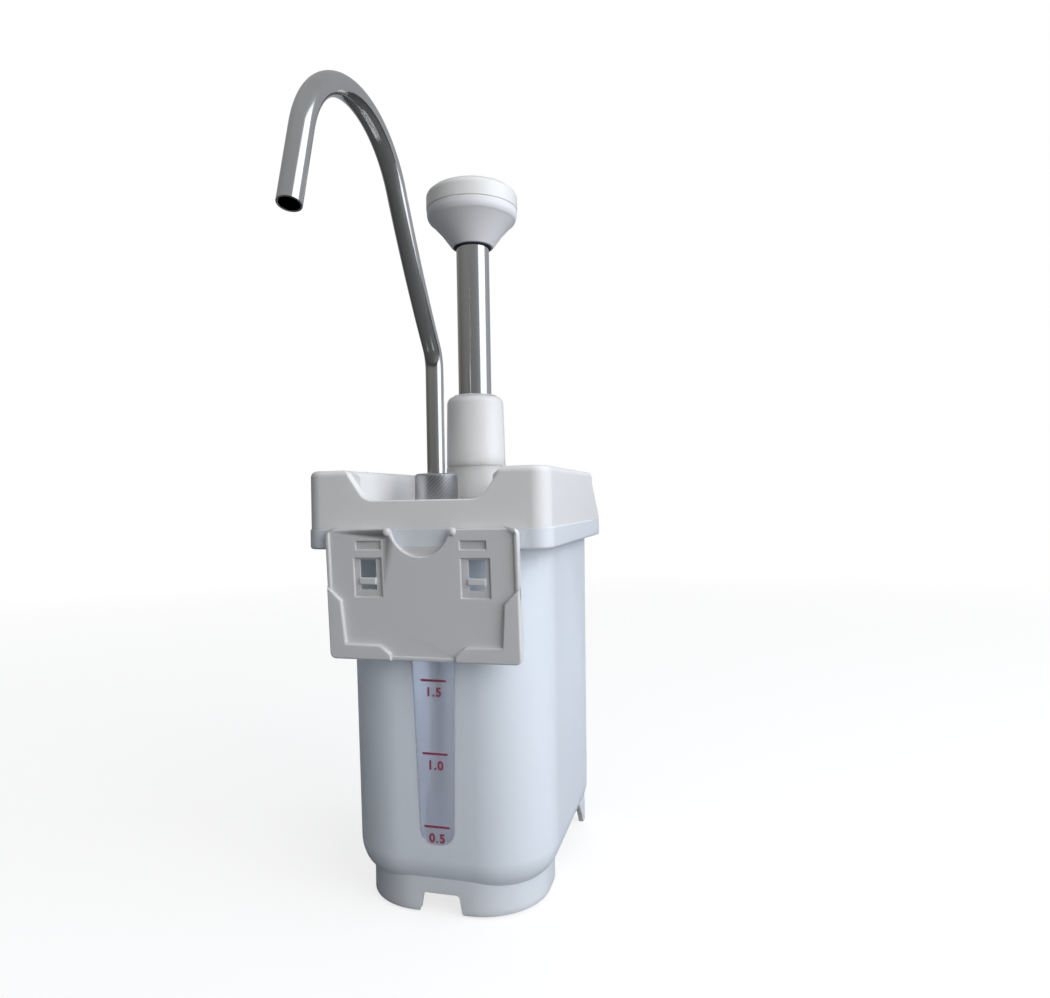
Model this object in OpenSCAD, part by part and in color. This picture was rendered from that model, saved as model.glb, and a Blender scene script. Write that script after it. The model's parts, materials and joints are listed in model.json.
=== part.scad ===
// Condiment pump dispenser: a moulded tank on a foot ring, a lift-off lid with an
// open-fronted well, a spring-return plunger pump hanging from the well floor and a
// swivelling gooseneck spout.  Millimetres.  +Z up, front towards -Y, the symmetry
// plane is X = 0, the origin is under the middle of the whole outline on the resting
// plane.  The Customizer's front-to-back values count from the middle of the tank.

/* [Tank] */
// height of the seam between tank rim and lid
seam_z = 202; // [180:1:230]
// width across the tank under the rim
tank_w = 115.4; // [100:0.2:130]
// front face of the tank under the rim, from the tank's middle
tank_f = -68.6; // [-72:0.2:-60]
// rear face of the tank under the rim
tank_b = 68.5; // [60:0.5:76]
// draft taken off each side wall by the bottom
side_draft = 1.2; // [0:0.1:3]
// draft taken off the front wall by the bottom
front_draft = 4.1; // [0:0.1:6]
// front corner radius
tank_rf = 36; // [20:1:40]
// rear corner radius
tank_rb = 9; // [5:1:20]
// wall thickness
wall = 2.4; // [1.8:0.1:4]
// underside of the tank floor
floor_z = 14; // [10:0.5:24]
// width of the foot ring
ring_w = 100; // [80:1:110]
// front of the foot ring
ring_f = -61; // [-66:0.5:-50]
// rear of the foot ring
ring_b = 19.5; // [10:0.5:60]
// height of the notch in the foot ring
ring_notch_h = 11; // [0:0.5:13]
// underside of the turned-down rim
rim_low = 190.4; // [186:0.2:196]

/* [Sight window] */
// window width at the top
win_w_top = 26.4; // [16:0.2:32]
// window width at the bottom
win_w_low = 18.4; // [12:0.2:28]
// lowest point of the window
win_low = 38; // [30:1:60]
// highest point of the window
win_high = 186; // [150:1:188]
// height of the lowest level line
mark_first = 47; // [40:0.5:60]
// spacing of the level lines
mark_step = 38; // [30:0.5:45]

/* [Lid] */
// width of the lid
lid_w = 130; // [120:1:140]
// front face of the lid
lid_f = -78.5; // [-82:0.5:-74]
// rear face of the raised deck
deck_b = 58.5; // [50:0.5:70]
// rear end of the grip ledge
ledge_b = 78; // [70:0.5:84]
// height of the deck above the seam
deck_h = 30.3; // [24:0.1:40]
// plan corner radius of the lid
lid_r = 9; // [4:0.5:14]
// wall thickness of the lid
lid_t = 2.6; // [2:0.1:4]
// upper face of the well floor
well_z = 212; // [208:0.5:216]
// half width of the well
well_hw = 40; // [30:0.5:46]
// rear end of the well
well_b = 37; // [30:0.5:46]
// top of the front sill
sill_z = 216.5; // [214:0.1:220]

/* [Pump] */
// pump axis behind the origin
pump_y = 10.5; // [0:0.5:20]
// plunger tube diameter
rod_d = 20; // [16:0.5:24]
// cylinder bore
bore_d = 24; // [22:0.5:30]
// cylinder outside diameter
cyl_d = 28; // [26:0.5:34]
// top of the guide sleeve
sleeve_top = 279.5; // [260:0.5:300]
// underside of the knob
knob_low = 370.5; // [350:0.5:390]
// knob diameter
knob_d = 55.6; // [45:0.2:65]
// plunger stroke
stroke = 75; // [50:1:85]

/* [Spout] */
// spout axis, left of centre
spout_x = -10.4; // [-20:0.1:0]
// spout axis, front of the origin
spout_y = -30.5; // [-40:0.5:-20]
// spout tube diameter
spout_d = 10; // [8:0.5:14]
// height where the gooseneck starts to lean forward
lean_z = 289; // [260:1:310]
// lean of the rising leg
lean_a = 36.5; // [20:0.5:50]
// length of the rising leg
rise_len = 82; // [60:1:100]
// easing of the rising leg back to upright
ease_a = 8; // [0:0.5:15]
// radius of the arch
arch_r = 48; // [30:0.5:60]
// length of the straight outlet leg
drop_len = 35; // [20:1:60]
// slope of the outlet leg from plumb
drop_a = 16; // [5:0.5:30]

/* [Label holder] */
// plate width
plate_w = 101.6; // [90:0.2:110]
// plate height
plate_h = 66; // [55:0.5:75]
// plate thickness
plate_t = 2.6; // [2:0.1:4]
// lean of the plate, foot towards the tank
plate_a = 3.9; // [0:0.1:8]
// front face of the plate at its top edge
plate_f = -82.7; // [-86:0.1:-80]

/* [Hidden] */

$fn = 96;
HFN = 48;
eps = 0.01;
thin = 0.1;
deck_z = seam_z + deck_h;
bottom_z = 30;
mid_y = (tank_f + tank_b)/2;
win_tilt = atan(front_draft/(seam_z - bottom_z));
piston_top = 213.5;
piston_h = 18;
tube_low = 205;
valve_top = 46;
lip_low = 194;
white = [0.93, 0.94, 0.95];
milky = [0.86, 0.89, 0.93, 0.85];
steel = [0.75, 0.76, 0.78];
dark = [0.12, 0.13, 0.15];

// centre line of the gooseneck, [forward, up] from its foot, and its lean at a step
ease_r = rise_len/(ease_a*PI/180);
top_a = 180 - drop_a;
function lean(i) = i <= 1 ? 0 : i <= 7 ? lean_a*(i - 1)/6
  : i <= 11 ? lean_a - ease_a*(i - 7)/4 : min(top_a, lean_a - ease_a
  + (top_a - lean_a + ease_a)*(i - 11)/24);
function leg(i) = i == 1 ? lean_z - 216 : i <= 7 ? chord(22, lean_a/6)
  : i <= 11 ? chord(ease_r, ease_a/4) : i <= 35 ? chord(arch_r, (top_a - lean_a + ease_a)/24)
  : drop_len;
function chord(r, a) = 2*r*sin(a/2);
function mid(i) = i == 1 ? 0 : i > 35 ? top_a : (lean(i - 1) + lean(i))/2;
function goose(i) = i == 0 ? [0, 216]
  : goose(i - 1) + leg(i)*[sin(mid(i)), cos(mid(i))];
goose_path = [for (i = [0 : 36]) goose(i)];
goose_n = len(goose_path);

// middle of the whole outline, front to back: every sub-part is drawn about it
reach = goose_path[goose_n - 1][0] - spout_d/2*cos(top_a);
shift_y = -(ledge_b + 1.5 + spout_y - reach)/2;
module placed() { translate([0, shift_y, 0]) children(); }

// ---- shared shapes ---------------------------------------------------------------

// rounded rectangle: full width w, front y0, rear y1, front and rear corner radii
module rr(w, y0, y1, rf, rb) {
  union() {
    translate([-w/2, y0 + rf]) square([w, y1 - y0 - rf - rb]);
    translate([-w/2 + rf, y0]) square([w - 2*rf, rf + eps]);
    translate([-w/2 + rb, y1 - rb - eps]) square([w - 2*rb, rb + eps]);
    for (s = [-1, 1]) {
      translate([s*(w/2 - rf), y0 + rf]) circle(rf);
      translate([s*(w/2 - rb), y1 - rb]) circle(rb);
    }
  }
}

// four thin corner discs of that outline, drawn in by g all round: hulled into shells
module slab(w, y0, y1, rf, rb, z, g = 0, h = thin) {
  f = max(rf - g, 1);
  b = max(rb - g, 1);
  for (s = [-1, 1]) {
    translate([s*(w/2 - g - f), y0 + g + f, z]) cylinder(r = f, h = h, $fn = HFN);
    translate([s*(w/2 - g - b), y1 - g - b, z]) cylinder(r = b, h = h, $fn = HFN);
  }
}

module ring(ro, ri, z0, z1) {
  translate([0, 0, z0]) difference() {
    cylinder(r = ro, h = z1 - z0);
    translate([0, 0, -1]) cylinder(r = ri, h = z1 - z0 + 2);
  }
}

// turned profile, points are [radius, height]
module turned(pts) { rotate_extrude() polygon(pts); }

module at_pump() { translate([0, pump_y, 0]) children(); }
module at_spout() { translate([spout_x, spout_y, 0]) children(); }

// ---- tank ------------------------------------------------------------------------

module tank_slab(z, g) {
  t = (seam_z - z)/(seam_z - bottom_z);
  k = min(t, 1);
  slab(tank_w - 2*side_draft*k, tank_f + front_draft*k, tank_b - 1.5*k,
    tank_rf, tank_rb, z, g);
}

module tank_outer() {
  hull() {
    tank_slab(seam_z - 1, 0);
    tank_slab(bottom_z, 0);
    tank_slab(24, 1.1);
    tank_slab(19, 3.1);
    tank_slab(15.6, 6.2);
    tank_slab(floor_z, 9.5);
  }
}

module tank_cavity() {
  hull() {
    tank_slab(seam_z + 1, wall);
    tank_slab(bottom_z, wall);
    tank_slab(24.5, wall + 1.3);
    tank_slab(20, wall + 3.6);
    tank_slab(17.6, wall + 6.6);
    tank_slab(floor_z + wall, wall + 9.6);
  }
}

module rim_outline(g) {
  rr(lid_w + 1.7 - 2*g, lid_f - 0.5 + g, ledge_b + 1.5 - g, lid_r - g + 1, lid_r - g + 1);
}

module rim_slab(z, g) {
  slab(lid_w + 1.7, lid_f - 0.5, ledge_b + 1.5, lid_r + 1, lid_r + 1, z, g);
}

module rim() {
  difference() {
    hull() {
      rim_slab(seam_z - thin, 0.5);
      rim_slab(seam_z - 5, 0);
      rim_slab(rim_low + 2, 0.1);
      rim_slab(rim_low, 0.8);
    }
    translate([0, 0, rim_low - 1]) linear_extrude(seam_z - 2.5 - rim_low + 1)
      rim_outline(2.8);
    // seats for the two upper tabs of the label holder
    for (s = [-1, 1]) translate([s*28 - 6.5, lid_f - 2, seam_z - 1.7]) cube([13, 6, 3]);
  }
}

module rear_foot() {
  rotate([90, 0, 90]) translate([0, 0, 49.6]) linear_extrude(3)
    polygon([[50, 18], [52, 13], [60, 9.5], [64.5, 1.2], [67, 0], [70.4, 0], [71.2, 1.2],
      [71, 14], [69.5, 28], [67.4, 40], [60, 40]]);
}

module window_shape(g) {
  hull() {
    for (s = [-1, 1]) translate([s*(win_w_low/2 - 7), win_low + 7]) circle(7 + g, $fn = HFN);
    for (s = [-1, 1]) translate([s*(win_w_top/2 - 3), win_high - 3]) circle(3 + g, $fn = HFN);
  }
}

// local frame on the front wall: X across, Z up, +Y into the tank
module on_front_wall() {
  translate([0, tank_f, seam_z]) rotate([win_tilt, 0, 0]) translate([0, 0, -seam_z])
    children();
}

module tank() placed() color(milky) {
  difference() {
    union() {
      rim();
      tank_outer();
      linear_extrude(19) rr(ring_w, ring_f, ring_b, 35, 35);
      rear_foot();
      mirror([1, 0, 0]) rear_foot();
    }
    tank_cavity();
    translate([0, 0, -1]) linear_extrude(floor_z + 1.2)
      rr(ring_w - 5, ring_f + 2.5, ring_b - 2.5, 32.5, 32.5);
    translate([-11, ring_f - 5, -1]) cube([22, 12, ring_notch_h + 1]);
    on_front_wall() translate([0, 1.2, 0]) rotate([90, 0, 0]) linear_extrude(3)
      window_shape(0);
  }
}

module sight_window() placed() color([0.8, 0.85, 0.9, 0.5]) {
  on_front_wall() translate([0, 1.15, 0]) rotate([90, 0, 0]) linear_extrude(1.15)
    window_shape(-0.05);
}

module level_marks() placed() color([0.62, 0.1, 0.16]) {
  on_front_wall() for (i = [0 : 2])
    translate([-7, -0.15, mark_first + i*mark_step]) cube([14, 0.15, 0.9]);
}

// ---- label holder ----------------------------------------------------------------

module plate_frame() {
  translate([0, plate_f, seam_z - 0.2]) rotate([plate_a, 0, 0]) children();
}

// 2D shape in the plate's own plane, standing from depth y0 to y1 behind the face
module stand(y0, y1) {
  translate([0, y1, 0]) rotate([90, 0, 0]) linear_extrude(y1 - y0) children();
}

module plate_outline() {
  difference() {
    translate([0, -plate_h]) rr_up(plate_w, plate_h, 3);
    translate([0, 2]) circle(15.8);
  }
  for (s = [-1, 1]) translate([s*17.4, -1.4]) circle(2.2);
}

module rr_up(w, h, r) {
  translate([-w/2, r]) square([w, h - 2*r]);
  translate([-w/2 + r, 0]) square([w - 2*r, h]);
  for (x = [-w/2 + r, w/2 - r], y = [r, h - r]) translate([x, y]) circle(r);
}

module retainer() {
  polygon([[-50.8, -28.4], [-49.8, -29.2], [-43, -36], [-41.4, -57.8], [-22.6, -58.2],
    [-17, -63.6], [-17, -65.9], [-48, -65.9], [-50.8, -63]]);
}

module card_slot() {
  polygon([[-46.8, -20], [-46.8, -62], [-10, -62], [-10, -20]]);
}

module label_holder() placed() color(white) plate_frame() {
  difference() {
    union() {
      stand(0, plate_t) plate_outline();
      // raised corner retainers for a card
      for (m = [0, 1]) mirror([m, 0, 0]) stand(-1.8, eps) retainer();
      stand(-0.9, eps) translate([-17, -plate_h + 0.2]) square([34, 2]);
      // hooks under the tank rim and tabs over it
      for (s = [-1, 1]) translate([s*28, 0, 0]) {
        translate([-6, plate_t - eps, -14.6]) cube([12, 5.6, 2]);
        translate([-6, plate_t + 3.4, -14.6]) cube([12, 2.2, 6]);
        translate([-6, plate_t - eps, -1.5]) cube([12, 3.2, 1]);
      }
    }
    for (m = [0, 1]) mirror([m, 0, 0]) stand(-0.9, 0) card_slot();
    for (m = [0, 1]) mirror([m, 0, 0]) {
      // upper slots, lower pockets and the windows through them
      stand(-1, 0.9) translate([21, -10]) square([13.5, 4.4]);
      stand(-1, 1.3) translate([21, -34]) square([15, 19.6]);
      stand(-1, plate_t + 1) translate([24.4, -24.6]) square([9, 9.4]);
    }
  }
}

// ---- lid -------------------------------------------------------------------------

module lid_slab(z, g, h = thin) { slab(lid_w, lid_f, deck_b, lid_r, lid_r, z, g, h); }

module deck_block(t, low) {
  hull() {
    lid_slab(low, t, deck_z - 3 - t*0.6 - low);
    lid_slab(deck_z - 0.9 - t, t + 0.9);
    lid_slab(deck_z - thin - t, t + 2.8);
  }
}

// rear grip ledge sweeping down from the deck to the rim
module ledge_block(t, low) {
  hull() for (s = [-1, 1]) {
    translate([s*(lid_w/2 - 2.2 - t), 20, low]) cylinder(r = 2, h = 12 - t, $fn = HFN);
    translate([s*(lid_w/2 + 1 - lid_r), ledge_b - lid_r, low])
      cylinder(r = lid_r - t, h = 1.2, $fn = HFN);
    translate([s*(lid_w/2 + 1 - lid_r), ledge_b - lid_r - 5.5, low])
      cylinder(r = lid_r - t, h = 6.5 - t*0.5, $fn = HFN);
    translate([s*(lid_w/2 - lid_r), deck_b - lid_r + 0.5, low])
      cylinder(r = lid_r - t, h = 16.5 - t, $fn = HFN);
  }
}

module lip_outline(g) {
  rr(tank_w - 2*wall - 1.2 - 2*g, tank_f + wall + 0.8 + g, tank_b - wall - 0.6 - g,
    tank_rf - wall - g, tank_rb - wall - g);
}

module notch_shape() {
  polygon([[-43.6, 232.9], [-41.6, 232], [-40, 230.2], [-38.8, 227.8], [-35.6, 221.6],
    [-33.2, 218.9], [-30.6, 217.2], [-28, sill_z], [28, sill_z], [30.6, 217.2],
    [33.2, 218.9], [35.6, 221.6], [38.8, 227.8], [40, 230.2], [41.6, 232], [43.6, 232.9]]);
}

module lid() placed() color(white) {
  difference() {
    union() {
      difference() {
        union() {
          deck_block(0, seam_z);
          ledge_block(0, seam_z);
        }
        deck_block(lid_t, seam_z + 2.4);
        ledge_block(lid_t, seam_z + 2.4);
      }
      translate([0, 0, lip_low]) linear_extrude(seam_z + 2.4 - lip_low) lip_outline(0);
      translate([0, 0, well_z - 3]) linear_extrude(deck_z - 1.5 - well_z + 3)
        rr(2*well_hw + 2*lid_t, lid_f + 1, well_b + lid_t, 3, 10 + lid_t);
      // bosses for the two fittings under the well floor
      at_pump() translate([0, 0, well_z - 4]) cylinder(r = 22, h = 2);
      at_spout() translate([0, 0, well_z - 4]) cylinder(r = 13, h = 2);
    }
    translate([0, 0, lip_low - 1]) linear_extrude(well_z - 4 - lip_low + 1) lip_outline(2);
    translate([0, 0, well_z]) linear_extrude(40)
      rr(2*well_hw, lid_f + 5, well_b, 6, 10);
    translate([0, lid_f + 12, 0]) rotate([90, 0, 0]) linear_extrude(20) notch_shape();
    // soft front edge of the sill
    translate([-29, lid_f - eps, sill_z - 3.4]) rotate([45, 0, 0]) cube([58, 6, 6]);
    at_pump() cylinder(r = cyl_d/2 + 0.3, h = 400);
    at_spout() cylinder(r = 7.3, h = 400);
    // seal groove
    translate([0, 0, seam_z - eps]) linear_extrude(1) difference() {
      lip_outline(-5.5);
      lip_outline(-0.9);
    }
  }
}

module lid_seal() placed() color(dark) {
  translate([0, 0, seam_z]) linear_extrude(0.95) difference() {
    lip_outline(-5.4);
    lip_outline(-1);
  }
}

// ---- pump, fixed parts -----------------------------------------------------------

module deck_gasket() placed() color(dark) at_pump() ring(19, cyl_d/2 + 0.05, well_z, well_z + 1);

module cylinder_part() {
  translate([0, 0, 39]) cylinder(d = cyl_d, h = 230 - 39);
  translate([0, 0, well_z + 1]) cylinder(r = 19, h = 3);
}

module cylinder_node() placed() color(milky) at_pump() difference() {
  cylinder_part();
  translate([0, 0, 38]) cylinder(d = bore_d, h = 200);
}

module cylinder_o_ring() placed() color(dark) at_pump() ring(15.6, cyl_d/2, 42, 44.2);

module clamp_nut() placed() color(white) at_pump() difference() {
  union() {
    translate([0, 0, well_z - 7]) cylinder(r = 20, h = 3);
    translate([0, 0, well_z - 12.5]) cylinder(r = 18, h = 6, $fn = 8);
  }
  translate([0, 0, well_z - 13]) cylinder(r = cyl_d/2 + 0.05, h = 12);
}

module collar_nut() placed() color(white) at_pump() difference() {
  turned([[0, well_z + 4], [19.2, well_z + 4], [19.6, well_z + 4.6], [19.2, 222], [18.1, 234],
    [17.9, 236.5], [0, 236.5]]);
  translate([0, 0, 200]) cylinder(r = cyl_d/2 + 0.05, h = 30.5);
  translate([0, 0, 200]) cylinder(r = 16.05, h = 32.5);
  translate([0, 0, 200]) cylinder(r = 14.2, h = 60);
}

module guide_sleeve() placed() color(white) at_pump() difference() {
  turned([[0, 230.1], [15.9, 230.1], [15.9, 232.4], [14.1, 232.4], [14.1, 236.5],
    [17.9, 236.5], [17.7, 250], [17.3, 268], [16.9, 273], [16, 276.6], [14.6, 278.8],
    [13.2, sleeve_top], [0, sleeve_top]]);
  translate([0, 0, 229]) cylinder(r = rod_d/2 + 0.6, h = 60);
  translate([0, 0, sleeve_top - 4]) cylinder(r = 12.2, h = 10);
}

module guide_bush() placed() color(white) at_pump() difference() {
  translate([0, 0, 214.5]) cylinder(d = bore_d - 0.02, h = 15.5);
  translate([0, 0, 210]) cylinder(r = rod_d/2 + 0.05, h = 30);
}

module wiper_seal() placed() color(dark) at_pump()
  ring(12.1, rod_d/2 + 0.06, sleeve_top - 4, sleeve_top - 0.8);

// ---- valve block -----------------------------------------------------------------

block_a = atan2(spout_x, spout_y - pump_y);
block_len = sqrt(pow(spout_x, 2) + pow(spout_y - pump_y, 2));

module valve_body() placed() color(white) {
  difference() {
    union() {
      at_pump() translate([0, 0, 22]) cylinder(r = 18, h = valve_top - 22);
      at_spout() translate([0, 0, 24]) cylinder(r = 10, h = valve_top - 24 + 6);
      at_pump() rotate([0, 0, -block_a]) translate([-6.5, 0, 25])
        cube([13, block_len, 14]);
    }
    at_pump() {
      translate([0, 0, 39]) cylinder(r = cyl_d/2 + 0.05, h = 20);
      translate([0, 0, 42]) cylinder(r = 15.7, h = 2.2);
      translate([0, 0, 30]) cylinder(r = 8, h = 20);
      translate([0, 0, 20]) cylinder(r = 11, h = 7.05);
      translate([0, 0, 20]) cylinder(r = 6.2, h = 20);
      rotate([0, 0, -block_a]) translate([0, 0, 33]) rotate([-90, 0, 0])
        cylinder(r = 3.2, h = block_len);
    }
    at_spout() {
      translate([0, 0, 28]) cylinder(r = 4.4, h = 30);
      translate([0, 0, 36]) cylinder(r = 6.06, h = 30);
    }
  }
  // bar that stops the inlet ball
  at_pump() translate([-8.4, -1, 36.8]) cube([16.8, 2, 1.6]);
}

module inlet_seat() placed() color(white) at_pump() difference() {
  union() {
    translate([0, 0, 19.6]) cylinder(r = 13, h = 2.4);
    translate([0, 0, 20]) cylinder(r = 10.9, h = 7);
  }
  translate([0, 0, 19]) cylinder(r = 3.8, h = 20);
  translate([0, 0, 25.4]) cylinder(r1 = 3.8, r2 = 5.6, h = 1.8);
  for (a = [0 : 60 : 300]) rotate([0, 0, a]) translate([3, -1.2, 18]) cube([12, 2.4, 2.8]);
}

module inlet_ball() placed() color(steel) at_pump() translate([0, 0, 28.4]) sphere(r = 4.75);

module outlet_seat() placed() color(white) at_spout() difference() {
  translate([0, 0, 36]) cylinder(r = 6, h = 4);
  translate([0, 0, 35]) cylinder(r = 2.6, h = 6);
  translate([0, 0, 38.6]) cylinder(r1 = 2.6, r2 = 4.1, h = 1.5);
}

module outlet_ball() placed() color(steel) at_spout() translate([0, 0, 41.2]) sphere(r = 3.6);

module riser_tube() placed() color(steel) at_spout() {
  ring(6, 4.6, 40.2, 214);
  // cross pin that holds the ball down
  translate([-5, 0, 48.8]) rotate([0, 90, 0]) cylinder(r = 0.8, h = 10);
}

module riser_gasket() placed() color(dark) at_spout() ring(11, 7.05, well_z, well_z + 0.8);

module riser_adapter() placed() color(steel) at_spout() difference() {
  union() {
    translate([0, 0, 196]) cylinder(r = 7, h = 18);
    translate([0, 0, well_z + 0.8]) cylinder(r = 11, h = 2.2);
    translate([0, 0, well_z + 3]) cylinder(r = 8, h = 9);
  }
  translate([0, 0, 190]) cylinder(r = 6.02, h = 24);
  translate([0, 0, 190]) cylinder(r = 4.6, h = 26);
  translate([0, 0, 215.5]) cylinder(r = spout_d/2 + 0.06, h = 20);
  translate([0, 0, 222]) cylinder(r = 6.4, h = 4);
}

module riser_locknut() placed() color(steel) at_spout() difference() {
  translate([0, 0, well_z - 10]) cylinder(r = 12, h = 6, $fn = 6);
  translate([0, 0, well_z - 11]) cylinder(r = 7.02, h = 8);
}

module spout_nut() placed() color(steel) at_spout() difference() {
  translate([0, 0, well_z + 3.2]) linear_extrude(15.8) difference() {
    circle(12);
    for (a = [0 : 12 : 348]) rotate(a) translate([12.2, 0]) circle(0.62, $fn = 24);
  }
  translate([0, 0, well_z + 3]) cylinder(r = 8.02, h = 12.5);
  translate([0, 0, well_z + 3]) cylinder(r = spout_d/2 + 0.35, h = 30);
}

module spout_o_ring() placed() color(dark) at_spout() ring(6.3, spout_d/2 + 0.08, 222.2, 223.9);

// ---- spout -----------------------------------------------------------------------

goose_fn = 24;
function goose_pt(i, j, r) = let (a = 360*j/goose_fn, t = lean(i), o = goose_path[i])
  [r*cos(a), -(o[0] + r*sin(a)*cos(t)), o[1] - r*sin(a)*sin(t)];
function quads(n, m, at, flip) = [for (i = [0 : n - 2], j = [0 : m - 1])
  let (k = (j + 1) % m, a = at + i*m, b = a + m)
  flip ? [a + j, b + j, b + k, a + k] : [a + j, a + k, b + k, b + j]];

module spout_tube() placed() color(steel) at_spout() polyhedron(
  points = concat([for (i = [0 : goose_n - 1], j = [0 : goose_fn - 1])
      goose_pt(i, j, spout_d/2)],
    [for (i = [0 : goose_n - 1], j = [0 : goose_fn - 1]) goose_pt(i, j, spout_d/2 - 0.8)]),
  faces = concat(quads(goose_n, goose_fn, 0, false),
    quads(goose_n, goose_fn, goose_n*goose_fn, true),
    [for (e = [0, 1], j = [0 : goose_fn - 1]) let (k = (j + 1) % goose_fn,
      a = e*(goose_n - 1)*goose_fn, b = a + goose_n*goose_fn)
      e == 1 ? [a + j, a + k, b + k, b + j] : [a + j, b + j, b + k, a + k]]));

module spout_collar() placed() color(steel) at_spout() ring(7.3, spout_d/2, 224.2, 227.2);

// ---- plunger ---------------------------------------------------------------------

module knob_body() placed() color(white) at_pump() difference() {
  turned([[0, knob_low], [12.2, knob_low], [13, knob_low + 0.5], [25.6, knob_low + 15.4],
    [27, knob_low + 17.6], [27.5, knob_low + 20.4], [27.5, knob_low + 22],
    [0, knob_low + 22]]);
  translate([0, 0, knob_low - 1]) cylinder(r = rod_d/2 + 0.02, h = 18);
  translate([0, 0, knob_low - 1]) cylinder(r = 11.6, h = 3);
}

module knob_cap() placed() color(white) at_pump()
  turned([[0, knob_low + 22], [27.6, knob_low + 22], [knob_d/2, knob_low + 22.4],
    [knob_d/2, knob_low + 29], [27.3, knob_low + 31.2], [26, knob_low + 33.2],
    [23.6, knob_low + 34.8], [18, knob_low + 36.8], [10, knob_low + 38.2],
    [0, knob_low + 38.8]]);

module knob_ring() placed() color(dark) at_pump() ring(11.5, rod_d/2 + 0.02, knob_low - 0.6, knob_low + 1.9);

module plunger_tube() placed() color(steel) at_pump() ring(rod_d/2, rod_d/2 - 1.5, tube_low, knob_low + 16.5);

module plunger_plug() placed() color(steel) at_pump() {
  translate([0, 0, tube_low]) cylinder(r = rod_d/2 - 1.52, h = 12);
  translate([0, 0, 190]) cylinder(r = 4, h = 16);
  translate([0, 0, 190]) cylinder(r = 7, h = 4.4, $fn = 6);
}

module piston() placed() color(white) at_pump() difference() {
  translate([0, 0, piston_top - piston_h]) cylinder(d = bore_d - 0.1, h = piston_h);
  translate([0, 0, tube_low]) cylinder(r = rod_d/2 + 0.02, h = 20);
  translate([0, 0, 190]) cylinder(r = 4.02, h = 20);
  for (z = [197.6, 201.4]) ring(20, 10, z, z + 2.2);
}

module piston_seals() placed() color(dark) at_pump()
  for (z = [197.65, 201.45]) ring(bore_d/2 - 0.04, 10.02, z, z + 2.1);

// coil spring swept as a closed mesh
spring_low = 39.1;
spring_high = piston_top - piston_h - 0.1;
spring_r = 9.2;
spring_wire = 0.8;
coils = 12;
spring_seg = 16;
spring_sides = 6;
spring_n = coils*spring_seg;

function spring_z(i) = spring_low + spring_wire
  + (spring_high - spring_low - 2*spring_wire)*i/spring_n;
function spring_pt(i, j) = let (a = 360*i/spring_seg, b = 360*j/spring_sides,
  r = spring_r + spring_wire*cos(b)) [r*cos(a), r*sin(a), spring_z(i) + spring_wire*sin(b)];

module return_spring() placed() color(steel) at_pump() polyhedron(
  points = [for (i = [0 : spring_n], j = [0 : spring_sides - 1]) spring_pt(i, j)],
  faces = concat(
    [for (i = [0 : spring_n - 1], j = [0 : spring_sides - 1]) let (k = (j + 1) % spring_sides)
      [i*spring_sides + j, i*spring_sides + k, (i + 1)*spring_sides + k,
        (i + 1)*spring_sides + j]],
    [[for (j = [0 : spring_sides - 1]) spring_sides - 1 - j],
      [for (j = [0 : spring_sides - 1]) spring_n*spring_sides + j]]));

// ---- drawing ---------------------------------------------------------------------

tank();
sight_window();
level_marks();
label_holder();
lid();
lid_seal();
deck_gasket();
cylinder_node();  // cylinder
cylinder_o_ring();
clamp_nut();
collar_nut();
guide_sleeve();
guide_bush();
wiper_seal();
valve_body();
inlet_seat();
inlet_ball();
outlet_seat();
outlet_ball();
riser_tube();
riser_gasket();
riser_adapter();
riser_locknut();
spout_nut();
spout_o_ring();
spout_tube();
spout_collar();
knob_body();
knob_cap();
knob_ring();
plunger_tube();
plunger_plug();
piston();
piston_seals();
return_spring();
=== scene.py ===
import json
from math import atan, cos, hypot, pi, radians, sin

import bmesh
import bpy
from mathutils import Matrix, Vector


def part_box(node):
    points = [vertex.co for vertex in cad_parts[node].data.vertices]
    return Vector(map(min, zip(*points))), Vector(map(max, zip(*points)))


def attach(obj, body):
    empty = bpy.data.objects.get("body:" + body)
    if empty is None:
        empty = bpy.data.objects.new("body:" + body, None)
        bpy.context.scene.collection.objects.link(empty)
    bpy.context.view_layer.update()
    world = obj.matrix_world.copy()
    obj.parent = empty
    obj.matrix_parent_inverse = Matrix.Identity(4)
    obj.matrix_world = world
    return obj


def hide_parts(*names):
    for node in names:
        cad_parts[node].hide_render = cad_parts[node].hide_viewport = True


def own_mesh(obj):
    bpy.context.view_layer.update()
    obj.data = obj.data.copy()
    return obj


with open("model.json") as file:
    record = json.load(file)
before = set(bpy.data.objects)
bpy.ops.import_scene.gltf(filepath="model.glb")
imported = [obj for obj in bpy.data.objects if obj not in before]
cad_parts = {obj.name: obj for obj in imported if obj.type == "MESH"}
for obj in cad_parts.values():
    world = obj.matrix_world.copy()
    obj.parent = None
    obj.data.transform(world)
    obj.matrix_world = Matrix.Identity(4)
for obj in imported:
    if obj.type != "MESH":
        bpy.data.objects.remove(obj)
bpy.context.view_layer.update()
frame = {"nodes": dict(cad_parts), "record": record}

MM = 0.001


def span(node):
    """Lowest and highest corner of a CAD node, in millimetres."""
    low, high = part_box(node)
    return low / MM, high / MM


# ---- driving sizes, from the frame ------------------------------------------------

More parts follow.
